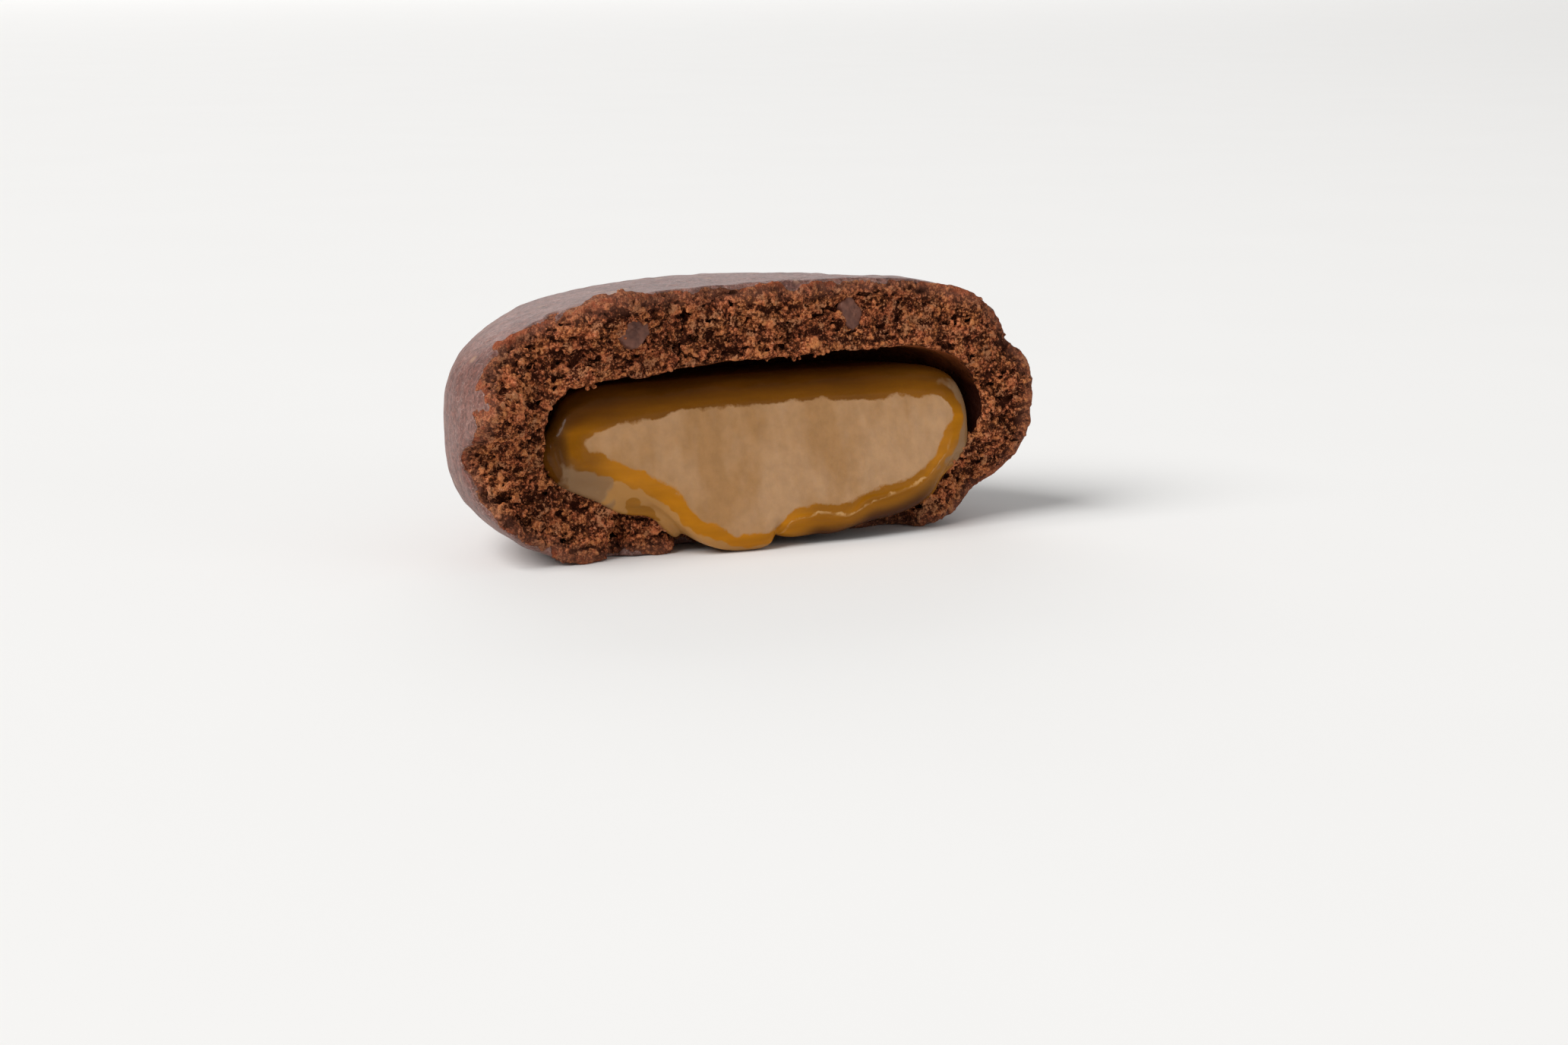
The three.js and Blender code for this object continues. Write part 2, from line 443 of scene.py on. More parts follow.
def surface_mesh(values, block, name):
    """The surface where values pass zero, as a mesh in metres with its faces looking outwards."""
    grid = openvdb.FloatGrid()
    grid.copyFromArray(np.ascontiguousarray(values, np.float32), ijk=tuple(int(i) for i in block.first))
    points, triangles, quads = grid.convertToPolygons(isovalue=0.0, adaptivity=0.0)
    mesh = bpy.data.meshes.new(name)
    mesh.from_pydata(points * block.step * MM, [], quads[:, ::-1].tolist() + triangles[:, ::-1].tolist())
    keep_largest(mesh)
    return mesh


def keep_largest(mesh):
    """Deletes every bit of the mesh that isn't joined to its largest one."""
    edges = np.empty(len(mesh.edges) * 2, np.int32)
    mesh.edges.foreach_get("vertices", edges)
    a, b = edges.reshape(-1, 2).T
    label = np.arange(len(mesh.vertices))
    before = None
    while before is None or (label != before).any():
        before = label.copy()
        lowest = np.minimum(label[a], label[b])
        np.minimum.at(label, a, lowest)
        np.minimum.at(label, b, lowest)
        label = label[label]
    loose = np.flatnonzero(label != np.bincount(label).argmax())
    body = bmesh.new()
    body.from_mesh(mesh)
    body.verts.ensure_lookup_table()
    bmesh.ops.delete(body, geom=[body.verts[i] for i in loose], context="VERTS")
    body.to_mesh(mesh)
    body.free()


def thinned(mesh, fine, share):
    """The mesh cut down to a share of its triangles, mostly where fine is near 0."""
    helper = bpy.data.objects.new(mesh.name + "_fine", mesh)
    bpy.context.scene.collection.objects.link(helper)
    group = helper.vertex_groups.new(name="smooth")
    # Three levels are enough. Points of weight 0 would not be merged at all.
    for level in (0.0, 0.5, 1.0):
        chosen = np.flatnonzero(np.abs((1 - fine) - level) <= 0.25)
        group.add(chosen.tolist(), max(level, 0.001), "REPLACE")
    thin = helper.modifiers.new("thin", "DECIMATE")
    thin.ratio = share
    thin.vertex_group = group.name
    thin.vertex_group_factor = 10
    shown = helper.evaluated_get(bpy.context.evaluated_depsgraph_get())
    result = bpy.data.meshes.new_from_object(shown)
    bpy.data.objects.remove(helper)
    return result


def store(mesh, name, values):
    """Keeps one number for each of the mesh's points, for its material to read."""
    attribute = mesh.attributes.new(name, "FLOAT", "POINT")
    attribute.data.foreach_set("value", np.asarray(values, np.float32))


def place(mesh, name, material):
    """The mesh as an object in the scene, smooth all over."""
    mesh.polygons.foreach_set("use_smooth", [True] * len(mesh.polygons))
    mesh.materials.append(material)
    piece = bpy.data.objects.new(name, mesh)
    bpy.context.scene.collection.objects.link(piece)
    return piece


# ------------ the cookie's dough


def faces_by_kind(mesh):
    """Sorts the cookie solid's faces into skin, tear and hollow: a search tree of each."""
    points, corners = triangles_of(mesh)
    hull = bmesh.new()
    for point in np.unique(points.round(3), axis=0):
        hull.verts.new(point)
    bmesh.ops.convex_hull(hull, input=hull.verts)
    around = BVHTree.FromBMesh(hull)
    hull.free()
    outside = np.zeros(len(points), bool)
    # The skin lies close under the convex shape, but not where that spans the tear.
    for i, point in enumerate(points):
        _, normal, _, gap = around.find_nearest(point)
        outside[i] = gap < SKIN_DENTS and normal.y > -0.5
    normals, _ = normals_of(points, corners)
    middles = points[corners].mean(axis=1)
    skin = outside[corners].all(axis=1)
    # By the opening and under it, only what faces forwards is torn. The rest is the hollow's wall.
    middle = (FILLING_LOW + FILLING_HIGH) / 2
    by_opening = np.abs(middles[:, 0] - middle.x) < FILLING_HIGH.x - middle.x + OPENING_SIDE
    by_opening &= middles[:, 2] < FILLING_HIGH.z + OPENING_TOP
    faces_forwards = normals[:, 1] < -0.25
    tear = ~skin & (middles[:, 1] < TEAR_Y + TEAR_SWELL) & (faces_forwards | ~by_opening)
    kinds = {"skin": skin, "tear": tear, "hollow": ~skin & ~tear}
    return {
        kind: BVHTree.FromPolygons(points.tolist(), corners[chosen].tolist())
        for kind, chosen in kinds.items()
    }


def torn_parts(gap, front, rng):
    """How torn each cube in the front is, from 0 to 1, and how far it is inside the tear, from 0 to 1."""
    ragged = lumps(front, *EDGE_WANDER, rng) + lumps(front, *EDGE_NIBBLES, rng)
    torn = rise(gap["skin"] - gap["tear"] + ragged, *TORN_BY_SKIN)
    torn *= rise(gap["hollow"] - gap["tear"] + 0.5 * ragged, *TORN_BY_HOLLOW)
    # Nothing deep in the dough or out on the skin is torn.
    torn *= rise(gap["tear"], 2.2, 1.6) * rise(gap["tear"] - 3 * gap["skin"], 0.6, 0.3)
    inner = torn * rise(gap["skin"], *INNER_BY_SKIN) * rise(gap["hollow"], *INNER_BY_HOLLOW)
    return torn, inner


def roughened(surface, gap, torn, inner, front, rng):
    """Crumb on the torn surface: rough at every scale, cracked, sunken in patches, holed and grainy."""
    crumb = surface.copy()
    clumps = lumps(front, CRUMB_CLUMPS[0], 1, rng, LAYERED)
    crumb += inner * (lumps(front, *CRUMB_LUMPS, rng, LAYERED) + CRUMB_CLUMPS[1] * clumps)
    crumb += (0.3 * torn + 0.7 * inner) * lumps(front, *CRUMB_GRIT, rng)
    for size, deepest in CRACKS:
        crumb += inner * deepest * ridge(lumps(front, size, 1, rng, LAYERED), 0, 0.4)
    size, deepest = SUNKEN
    crumb += inner * deepest * rise(lumps(front, size, 1, rng, LAYERED) + 0.7 * clumps, 0.9, 1.5)

    # Holes and pits start just under the crumb's surface, and well away from the skin.
    within = (crumb < 0.0) & (crumb > -0.45) & (inner > 0.9)
    stamp_balls(crumb, front, *clusters(within & (gap["skin"] > 1.2), HOLES, front, rng), carve=True)
    stamp_balls(crumb, front, *clusters(within & (gap["skin"] > 1.5), PITS, front, rng), carve=True)
    at_rim = (np.abs(crumb) < AT_SURFACE) & (gap["skin"] < 0.5) & (torn > 0.3)
    stamp_balls(crumb, front, *clusters(at_rim, CHIPS, front, rng), carve=True)
    on_crumb = (np.abs(crumb) < AT_SURFACE) & (inner > 0.4)
    stamp_balls(crumb, front, *clusters(on_crumb, GRAINS, front, rng), carve=False)
    # No grain stands out past the skin beside it.
    at_skin, further = GRAIN_RISE
    return np.maximum(crumb, surface - at_skin - further * rise(gap["skin"], 0.2, 0.8))


def read_front(front, values, points, elsewhere):
    """values at the points that lie in the front of the dough, and elsewhere at all others."""
    return np.where(points[:, 1] < READ_BACK, front.read(values, points), elsewhere)


def build_dough(settings):
    """The dough's mesh: the solid rounded, soft dents in its skin, and porous crumb on its torn face."""
    rng = np.random.default_rng(settings.seed)
    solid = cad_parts[COOKIE].data
    margin = Vector((1, 1, 1))
    block = Block(COOKIE_LOW - margin, COOKIE_HIGH + margin, settings.cube / MM)
    dough = signed_distance(solid, block, reach=2.4)
    # The dough grows out to the filling where only the clearance between the solids parts them.
    filling = signed_distance(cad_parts[FILLING].data, block, reach=1.4)
    dough -= DOUGH_GROWS * rise(filling, *NEAR_FILLING)
    dough = softened(dough, block, spread=0.3)
    dough += lumps(block, *SKIN_WAVES, rng) + lumps(block, *SKIN_BUMPS, rng)

    kinds = faces_by_kind(solid)
    front = block.in_front_of(CRUMB_BACK)
    gap = {kind: gap_field(tree, front, coarse=4) for kind, tree in kinds.items()}
    torn, inner = torn_parts(gap, front, rng)
    surface = dough[:, : front.shape[1]] + torn * lumps(front, *TEAR_WAVES, rng)
    crumb = roughened(surface, gap, torn, inner, front, rng)
    for spot, reach in chocolate_spots(kinds["tear"]):
        stamp_balls(crumb, front, [spot], [CHOCOLATE_SEAT * reach], carve=True)
    dough[:, : front.shape[1]] = crumb
    # Flat where it was baked.
    height = block.axes()[2]
    dough = np.maximum(dough, -height[None, None, :])

    mesh = surface_mesh(dough, block, "cookie_dough")
    mesh = thinned(mesh, read_front(front, torn, points_of(mesh), elsewhere=0), settings.share)
    points = points_of(mesh)
    # Torn dough counts as crumb, and so does the inside of every hole in it.
    depth = read_front(front, -surface, points, elsewhere=0)
    crumbly = read_front(front, torn, points, elsewhere=0)
    store(mesh, "crumb", np.maximum(crumbly, rise(depth, 0.12, 0.25)))
    # How far each point stands out from the crumb round it, less how deep it lies below the whole tear: it
    # paints light on what stands out and shade on what lies deep.
    around = softened(crumb, front, spread=0.28)
    standing = read_front(front, around, points, elsewhere=0) / CRUMB_RELIEF
    sinking = np.minimum(depth / CRUMB_SINKS, 1.3)
    store(mesh, "raised", 0.8 + 0.3 * standing - 0.42 * sinking)
    from_skin = gaps(kinds["skin"], points)
    store(mesh, "from_skin", from_skin)
    store(mesh, "wall", rise(from_skin - gaps(kinds["hollow"], points), -0.2, 0.2))
    return mesh


# ------------ the caramel


def face_and_rest(mesh):
    """Two search trees: the filling's flat front face, the largest set of level triangles, and the rest."""
    points, corners = triangles_of(mesh)
    normals, sizes = normals_of(points, corners)
    front = normals[:, 1] < -0.8
    level = 0.9995  # least cosine of the angle between triangles that lie level with each other
    best = max(np.flatnonzero(front), key=lambda i: sizes[front & (normals @ normals[i] > level)].sum())
    chosen = front & (normals @ normals[best] > level)
    return [BVHTree.FromPolygons(points.tolist(), corners[part].tolist()) for part in (chosen, ~chosen)]


def build_caramel(settings):
    """The caramel's mesh: the solid with soft edges, a low ridge along its lower slope, and slight waves."""
    rng = np.random.default_rng(settings.seed + 1)
    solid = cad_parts[FILLING].data
    margin = Vector((1.5, 1.5, 1.5))
    block = Block(FILLING_LOW - margin, FILLING_HIGH + margin, CARAMEL_CUBE)
    caramel = signed_distance(solid, block, reach=3.0)
    dough = signed_distance(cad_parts[COOKIE].data, block, reach=3.0)
    # Where only the clearance between the solids parts them, the caramel clings to the dough.
    height = block.axes()[2][None, None, :]
    across = block.axes()[0][:, None, None]
    # It clings further low down and at its left end.
    further = np.maximum(rise(height, 7.5, 4.5), rise(across, -8, -14) * rise(height, 12, 10))
    near, more = CARAMEL_CLINGS
    caramel = np.minimum(caramel, np.maximum(caramel, dough) - (near + more * further))
    caramel = softened(caramel, block, spread=0.32)
    face, rest = face_and_rest(solid)
    from_face = gap_field(face, block, coarse=3)
    # The tongue that ran over the lip ends in a crease, and right of it the caramel stands back.
    low = rise(height, 3.4, 2.0) * rise(from_face, 0.2, 0.6)
    caramel += LIP_CREASE * ridge(across, LIP_END, 0.4) * low
    right = rise(across, LIP_END, LIP_END + 0.5) * rise(across, 7, 4)
    caramel += LIP_STEP * right * rise(height, 2.8, 1.4)
    ridge_at = np.where(across < LIP_END, 1.6, 0.9)
    strayed = from_face + lumps(block, *RIDGE_WANDER, rng)
    caramel -= LIP_RIDGE * rise(height, 9, 5) * ridge(strayed, ridge_at, 0.3)
    caramel += lumps(block, *CARAMEL_WAVES, rng)
    # It ends just clear of the floor.
    caramel = np.maximum(caramel, 0.03 - height)
    mesh = surface_mesh(caramel, block, "caramel")
    wander = block.read(lumps(block, 0.6, 1, rng) + lumps(block, 0.25, 0.3, rng), points_of(mesh))
    mark_caramel(mesh, face, rest, wander)
    return mesh


def mark_caramel(mesh, face, rest, wander):
    """Stores how far each point is from the flat face, where painted shade darkens the caramel, and where it
    is pale or greyish, both partly painted reflection.
    """
    points = points_of(mesh)
    x, _, z = points.T
    left, top = FILLING_LOW.x, FILLING_HIGH.z
    away = gaps(face, points)
    store(mesh, "from_face", away - gaps(rest, points))

    # Painted shade, darkest up in the gap under the roof and half dark at the lower right; the left end is
    # darkened too.
    under_roof = rise(z, top - 5.2, top - 2.6) * (0.66 + 0.22 * rise(away, 0, 1.8))
    under_roof *= 1 - 0.15 * rise(x, 10, 16)
    at_left = np.maximum(0.5 * rise(x, left + 6, left + 3), 0.8 * rise(x, left + 2.6, left + 0.8))
    at_right = rise(x, 2, 5) * rise(x, 19, 15) * rise(z, top - 8, top - 10)
    at_right *= 0.3 + 0.7 * rise(away, 1.3, 2.7)
    store(mesh, "shade", np.maximum(under_roof, np.maximum(at_left, at_right)))

    # Pale over the lip, partly a painted reflection, but for a thin brown patch; greyish in a smear left of
    # it and along the right end, a thin film with a painted sheen.
    x, z, away = x + 0.35 * wander, z + 0.2 * wander, away + 0.15 * wander
    on_lip = rise(x, LIP_END, LIP_END - 1) * rise(x, left + 4.2, left + 5.2) * rise(z, 9, 7.5)
    band = 1.1 + 0.5 * rise(x, left + 15, left + 12)
    patch = rise(x, left + 6.4, left + 7.2) * rise(x, left + 10.2, left + 9.4) * rise(away, 2.3, 2.7)
    store(mesh, "lip", on_lip * rise(away - band, -0.2, 0.3) * (1 - patch))
    over_smear = z - 8.1 + 0.57 * (x - left - 2.4)
    smear_and_sheen = rise(over_smear, 0.9, 0.1) * rise(x, left + 5.6, left + 4.2) * rise(x, left + 0.4, left + 1.8)
    right_film_and_sheen = rise(x, 15, 18) * rise(z, 5, 6.5) * rise(z, top - 1, top - 3) * rise(away, 1.2, 1.7)
    store(mesh, "rim", np.maximum(0.8 * right_film_and_sheen, smear_and_sheen))
    store(mesh, "low", rise(x, LIP_END - 0.3, LIP_END + 0.3) * rise(z, 9, 6))


# ------------ chocolate


def chocolate_spots(tear):
    """Where each chocolate piece sits in the torn face, and how far it reaches, in millimetres."""
    spots = []
    for x, z, reach in CHOCOLATE:
        spot, _, _, _ = tear.ray_cast(Vector((x, COOKIE_LOW.y - 5, z)), Vector((0, 1, 0)))
        if spot is None:
            raise RuntimeError(f"no torn dough behind the chocolate at {x}, {z}")
        spots.append((spot, reach))
    return spots


def chunk(middle, reach, rng):
    """A chocolate piece: a ball cut to flat sides with worn edges, one of them facing out of the tear."""
    ball = bmesh.new()
    bmesh.ops.create_icosphere(ball, subdivisions=5, radius=1)
    # Most sides face along the tear, and the first one faces out of it.
    sides = rng.standard_normal((CHOCOLATE_SIDES, 3))
    sides[:, 1] *= 0.4
    sides /= np.linalg.norm(sides, axis=1, keepdims=True)
    depths = rng.uniform(0.6, 0.85, CHOCOLATE_SIDES)
    sides[0], depths[0] = (0.1, -1, 0.15), 0.35
    for vert in ball.verts:
        towards_sides = np.maximum(sides @ np.array(vert.co), 0) / depths
        radius = reach / ((towards_sides**CHOCOLATE_EDGE).sum() + 1) ** (1 / CHOCOLATE_EDGE)
        radius *= 1 + 0.14 * noise.noise(vert.co * 2.5 + middle) + 0.03 * noise.noise(vert.co * 9 + middle)
        vert.co = (middle + vert.co * radius) * MM
    return ball


def build_chocolate(settings):
    """One mesh of all the chocolate pieces, each sunk into the tear."""
    rng = np.random.default_rng(settings.seed + 2)
    pieces = bpy.data.meshes.new("chocolate_pieces")
    joined = bmesh.new()
    for spot, reach in chocolate_spots(faces_by_kind(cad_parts[COOKIE].data)["tear"]):
        ball = chunk(spot + Vector((0, CHOCOLATE_SUNK * reach, 0)), reach, rng)
        ball.to_mesh(pieces)
        ball.free()
        joined.from_mesh(pieces)
    joined.to_mesh(pieces)
    joined.free()
    return pieces


# ------------ materials


def per(size):
    """A texture's scale for features of a size in millimetres."""
    return 1 / (size * MM)


def add_node(tree, kind, inputs=(), out=0, **settings):
    """Adds a shader node with its settings, and gives back one of its outputs, if it has any.

    inputs holds values or links, either by name or in the order of the inputs that the settings leave in use:
    a Mix takes a factor and two colours or numbers, and a Map Range a value, its limits and what they become.
    """
    node = tree.nodes.new("ShaderNode" + kind)
    for name, value in settings.items():
        setattr(node, name, value)
    named = isinstance(inputs, dict)
    sockets = node.inputs if named else [socket for socket in node.inputs if socket.enabled]
    for key, value in inputs.items() if named else enumerate(inputs):
        if isinstance(value, bpy.types.NodeSocket):
            tree.links.new(value, sockets[key])
        elif hasattr(value, "__len__"):
            sockets[key].default_value[: len(value)] = list(value)
        else:
            sockets[key].default_value = value
    outputs = node.outputs if isinstance(out, str) else [socket for socket in node.outputs if socket.enabled]
    return outputs[out] if outputs else None


def blank_material(name):
    """A material and its node tree, with nothing in it."""
    material = bpy.data.materials.new(name)
    material.use_nodes = True
    material.node_tree.nodes.clear()
    return material, material.node_tree


def baked_skin(tree, at, settings):
    """Skin: clouds of lighter and darker brown, a mottle, dark pores, specks, hairlines and pale crumbs.

    Gives its colour, and its relief of pores, mottle and soft swells.
    """
    clouds = add_node(tree, "TexNoise", {"Vector": at, "Scale": per(5), "Detail": 3})
    cloudy = add_node(tree, "MapRange", [clouds, 0.35, 0.65])
    colour = add_node(tree, "Mix", [cloudy, linear("6E463D"), settings.skin], data_type="RGBA")
    mottle = add_node(tree, "TexNoise", {"Vector": at, "Scale": per(0.45), "Detail": 3.5, "Roughness": 0.8})
    mottled = add_node(tree, "MapRange", [mottle, 0.35, 0.65, 0.52, 1.54])
    colour = add_node(tree, "Mix", [1, colour, mottled], data_type="RGBA", blend_type="MULTIPLY")
    pores = add_node(tree, "TexVoronoi", {"Vector": at, "Scale": per(0.9)})
    pore = add_node(tree, "MapRange", [pores, 0.24, 0.1, 0, 0.5])
    colour = add_node(tree, "Mix", [pore, colour, linear("4A2620")], data_type="RGBA")
    veins = add_node(tree, "TexNoise", {"Vector": at, "Scale": per(1.5), "Detail": 3})
    vein = add_node(tree, "Math", [veins, 0.5, 0.007], operation="COMPARE")
    specks = add_node(tree, "TexVoronoi", {"Vector": at, "Scale": per(0.42)})
    speck = add_node(tree, "MapRange", [specks, 0.22, 0.12])
    pale = add_node(tree, "Mix", [0.4, speck, vein], data_type="FLOAT")
    pale = add_node(tree, "Math", [pale, 0.55], operation="MULTIPLY")
    colour = add_node(tree, "Mix", [pale, colour, linear("C8AAA0")], data_type="RGBA")
    # Fallen crumbs, in the middles of cells that the clouds bend. The mottle makes their edges ragged.
    bend = clouds.node.outputs["Color"]
    bent = add_node(tree, "Mix", [1.5 * MM, at, bend], data_type="RGBA", blend_type="ADD")
    cells = add_node(tree, "TexVoronoi", {"Vector": bent, "Scale": per(3)})
    ragged = add_node(tree, "Math", [mottle, 0.4, cells], operation="MULTIPLY_ADD")
    crumbs = add_node(tree, "MapRange", [ragged, 0.38, 0.25, 0, 0.6])
    colour = add_node(tree, "Mix", [crumbs, colour, linear("B88E70")], data_type="RGBA")
    relief = add_node(tree, "Math", [pore, -0.8, mottle], operation="MULTIPLY_ADD")
    swells = add_node(tree, "TexNoise", {"Vector": at, "Scale": per(1.1), "Detail": 1})
    relief = add_node(tree, "Math", [relief, swells], operation="ADD")
    return colour, relief


def torn_crumb(tree, at, raised, from_skin, settings):
    """Crumb: orange-brown where it stands out, near black in its pores, and speckled by its grains, with
    painted light on what stands out, painted shade in the pores and painted glints.

    Gives its colour and its grain.
    """
    # The granules are cells in space that the fine noise bends, so that no two are alike.
    fine = add_node(tree, "TexNoise", {"Vector": at, "Scale": per(0.18), "Detail": 1, "Roughness": 0.6})
    bend = fine.node.outputs["Color"]
    bent = add_node(tree, "Mix", [0.4 * MM, at, bend], data_type="RGBA", blend_type="ADD")
    pebbles = add_node(tree, "TexVoronoi", {"Vector": bent, "Scale": per(0.28)})
    pebble = add_node(tree, "MapRange", [pebbles, 0, 0.9, 0.75, 0.15])
    grain = add_node(tree, "Mix", [0.5, pebble, fine], data_type="FLOAT")

    # How far it stands out, shaken by its grain and in patches, picks its place from dark to pale. Dark is
    # painted shade where it or its grain sinks, pale is painted light where they stand out.
    shaken = add_node(tree, "MapRange", [grain, 0.38, 0.62, -0.7, 0.85])
    patches = add_node(tree, "TexNoise", {"Vector": at, "Scale": per(1.3), "Detail": 3, "Roughness": 0.65})
    shifted = add_node(tree, "MapRange", [patches, 0.38, 0.62, -0.6, 0.45])
    level = add_node(tree, "Math", [raised, shaken], operation="ADD")
    level = add_node(tree, "Math", [level, shifted], operation="ADD")
    outer = add_node(tree, "MapRange", [level, 0.3, 0.8])
    colour = add_node(tree, "Mix", [outer, linear("603822"), settings.crumb], data_type="RGBA")
    tips = add_node(tree, "MapRange", [level, 0.8, 1.3])
    colour = add_node(tree, "Mix", [tips, colour, linear("C8865A")], data_type="RGBA")
    hues = add_node(tree, "TexNoise", {"Vector": at, "Scale": per(1.6), "Detail": 4, "Roughness": 0.7})
    hue = add_node(tree, "MapRange", [hues, 0.4, 0.6])
    tone = add_node(tree, "Mix", [hue, linear("FFF2DA"), linear("FFE0DA")], data_type="RGBA")
    colour = add_node(tree, "Mix", [1, colour, tone], data_type="RGBA", blend_type="MULTIPLY")
    # Painted shade: where it sinks deepest it turns near black.
    deep = add_node(tree, "MapRange", [level, 0.3, -0.25])
    colour = add_node(tree, "Mix", [deep, colour, settings.crumb_pore_shade], data_type="RGBA")

    # Here and there a whole clump is paler, and painted glints light the heads of single grains.
    clumps = add_node(tree, "TexVoronoi", {"Vector": bent, "Scale": per(0.8)}, "Color")
    picked = add_node(tree, "SeparateXYZ", [clumps])
    pale = add_node(tree, "MapRange", [picked, 0.78, 0.88, 0, 0.6])
    pale = add_node(tree, "Math", [pale, outer], operation="MULTIPLY")
    colour = add_node(tree, "Mix", [pale, colour, linear("B27C58")], data_type="RGBA")
    painted_glints = add_node(tree, "MapRange", [pebbles, 0.28, 0.12, 0, 0.5])
    painted_glints = add_node(tree, "Math", [painted_glints, outer], operation="MULTIPLY")
    colour = add_node(tree, "Mix", [painted_glints, colour, linear("D8A080")], data_type="RGBA")

    # Near the skin it is baked browner, and in places a red-brown line follows the edge.
    baked = add_node(tree, "MapRange", [from_skin, 1.7, 0.5, 0, 0.5])
    colour = add_node(tree, "Mix", [baked, colour, linear("865644")], data_type="RGBA")
    line = add_node(tree, "MapRange", [from_skin, 0.55, 0.2, 0, 0.6])
    places = add_node(tree, "MapRange", [hues, 0.47, 0.53])
    line = add_node(tree, "Math", [line, places], operation="MULTIPLY")
    colour = add_node(tree, "Mix", [line, colour, linear("964A2E")], data_type="RGBA")
    return colour, grain


def dough_material(settings):
    """Baked cacao dough: its skin is matte like unglazed clay, and its torn crumb grainy and porous."""
    material, tree = blank_material("baked_cacao_dough")
    at = add_node(tree, "TexCoord", out="Object")
    crumb, raised, from_skin, wall = (
        add_node(tree, "Attribute", out="Fac", attribute_name=name)
        for name in ("crumb", "raised", "from_skin", "wall")
    )
    skin, relief = baked_skin(tree, at, settings)
    torn, grain = torn_crumb(tree, at, raised, from_skin, settings)

    # The skin ends in a ragged line, with a paler crust along it that is partly a painted highlight where the
    # edge catches the light.
    ragged = add_node(tree, "MapRange", [grain, 0.3, 0.7, -0.2, 0.2])
    edge = add_node(tree, "Math", [crumb, ragged], operation="ADD")
    crust_and_highlight = add_node(tree, "MapRange", [edge, 0.02, 0.2, 0, 0.2])
    skin = add_node(tree, "Mix", [crust_and_highlight, skin, linear("B8988A")], data_type="RGBA")
    crumb = add_node(tree, "MapRange", [edge, 0.3, 0.45])

    # Wall of the hollow: dough soaked smooth by the caramel and dark, partly its own colour and partly
    # painted shade; on the roof, which faces down into deeper shade, it is painted lighter.
    normal = add_node(tree, "NewGeometry", out="Normal")
    facing_up = add_node(tree, "SeparateXYZ", [normal], "Z")
    roof_painted_light = add_node(tree, "MapRange", [facing_up, -0.4, -0.9])
    soaked_and_shaded = add_node(tree, "Mix", [roof_painted_light, linear("301208"), linear("8A4A26")], data_type="RGBA")
    colour = add_node(tree, "Mix", [wall, skin, soaked_and_shaded], data_type="RGBA")
    colour = add_node(tree, "Mix", [crumb, colour, torn], data_type="RGBA")

    # Cocoa butter gives the skin alone a faint, blurred shine.
    matte = add_node(tree, "MapRange", [crumb, 0, 1, 0.5, 0.9])
    off_skin = add_node(tree, "Math", [crumb, wall], operation="MAXIMUM")
    buttery = add_node(tree, "MapRange", [off_skin, 0, 1, 0.4, 0])
    relief_height = add_node(tree, "MapRange", [crumb, 0, 1, 0.28 * MM, 0.4 * MM])
    height = add_node(tree, "Mix", [crumb, relief, grain], data_type="FLOAT")
    bump = add_node(tree, "Bump", {"Height": height, "Distance": relief_height, "Strength": 1})
    finish = {"Roughness": matte, "Specular IOR Level": 0.1, "Coat Weight": buttery, "Coat Roughness": 0.42}
    shader = add_node(tree, "BsdfPrincipled", {"Base Color": colour, "Normal": bump, **finish})
    add_node(tree, "OutputMaterial", {"Surface": shader})
    return material


def caramel_face(tree, at, nibbles, settings):
    """The flat face's colour: pale tan with browner clouds, paler towards the right, and faintly dimpled. Its
    pale tan is partly its own colour and partly a painted reflection of the front light.
    """
    hanging = add_node(tree, "Mapping", {"Vector": at, "Scale": (1, 1, 0.45)})
    clouds = add_node(tree, "TexNoise", {"Vector": hanging, "Scale": per(4), "Detail": 3})
    cloudy = add_node(tree, "MapRange", [clouds, 0.38, 0.62])
    across = add_node(tree, "SeparateXYZ", [at])
    paler = add_node(tree, "MapRange", [across, -14 * MM, 18 * MM, -0.35, 0.35])
    cloudy = add_node(tree, "Math", [cloudy, paler], operation="ADD", use_clamp=True)
    colour = add_node(tree, "Mix", [cloudy, linear("AA7E50"), settings.caramel], data_type="RGBA")
    dimpled = add_node(tree, "MapRange", [nibbles, 0.35, 0.65, 0.93, 1.07])
    return add_node(tree, "Mix", [1, colour, dimpled], data_type="RGBA", blend_type="MULTIPLY")


def caramel_slopes(tree, at, nibbles, from_face, shade, settings):
    """The slopes' colour: golden, olive further out, darkened by painted shade, and faintly streaked."""
    outer = add_node(tree, "MapRange", [from_face, 1.3, 2.1, 0, 0.65])
    colour = add_node(tree, "Mix", [outer, settings.amber, linear("8A5E24")], data_type="RGBA")
    # Painted shade darkens the slopes.
    colour = add_node(tree, "Mix", [shade, colour, linear("442003")], data_type="RGBA")
    along = add_node(tree, "Mapping", {"Vector": at, "Scale": (0.15, 1, 1)})
    streaks = add_node(tree, "TexNoise", {"Vector": along, "Scale": per(0.9), "Detail": 2})
    streaked = add_node(tree, "MapRange", [streaks, 0.3, 0.7, 0.88, 1.12])
    colour = add_node(tree, "Mix", [1, colour, streaked], data_type="RGBA", blend_type="MULTIPLY")
    # Thin over the lip it is pale, partly a painted reflection, and greyish along the right end and left of
    # the lip, a film with a painted sheen.
    for name, wide, most, thin in (("lip", (0.72, 1.05), 1, "AE7E46"), ("rim", (0.75, 1.15), 0.75, "8E7052")):
        part = add_node(tree, "Attribute", out="Fac", attribute_name=name)
        part = add_node(tree, "Math", [nibbles, 0.9, part], operation="MULTIPLY_ADD")
        part = add_node(tree, "MapRange", [part, *wide, 0, most])
        colour = add_node(tree, "Mix", [part, colour, linear(thin)], data_type="RGBA")
    return colour


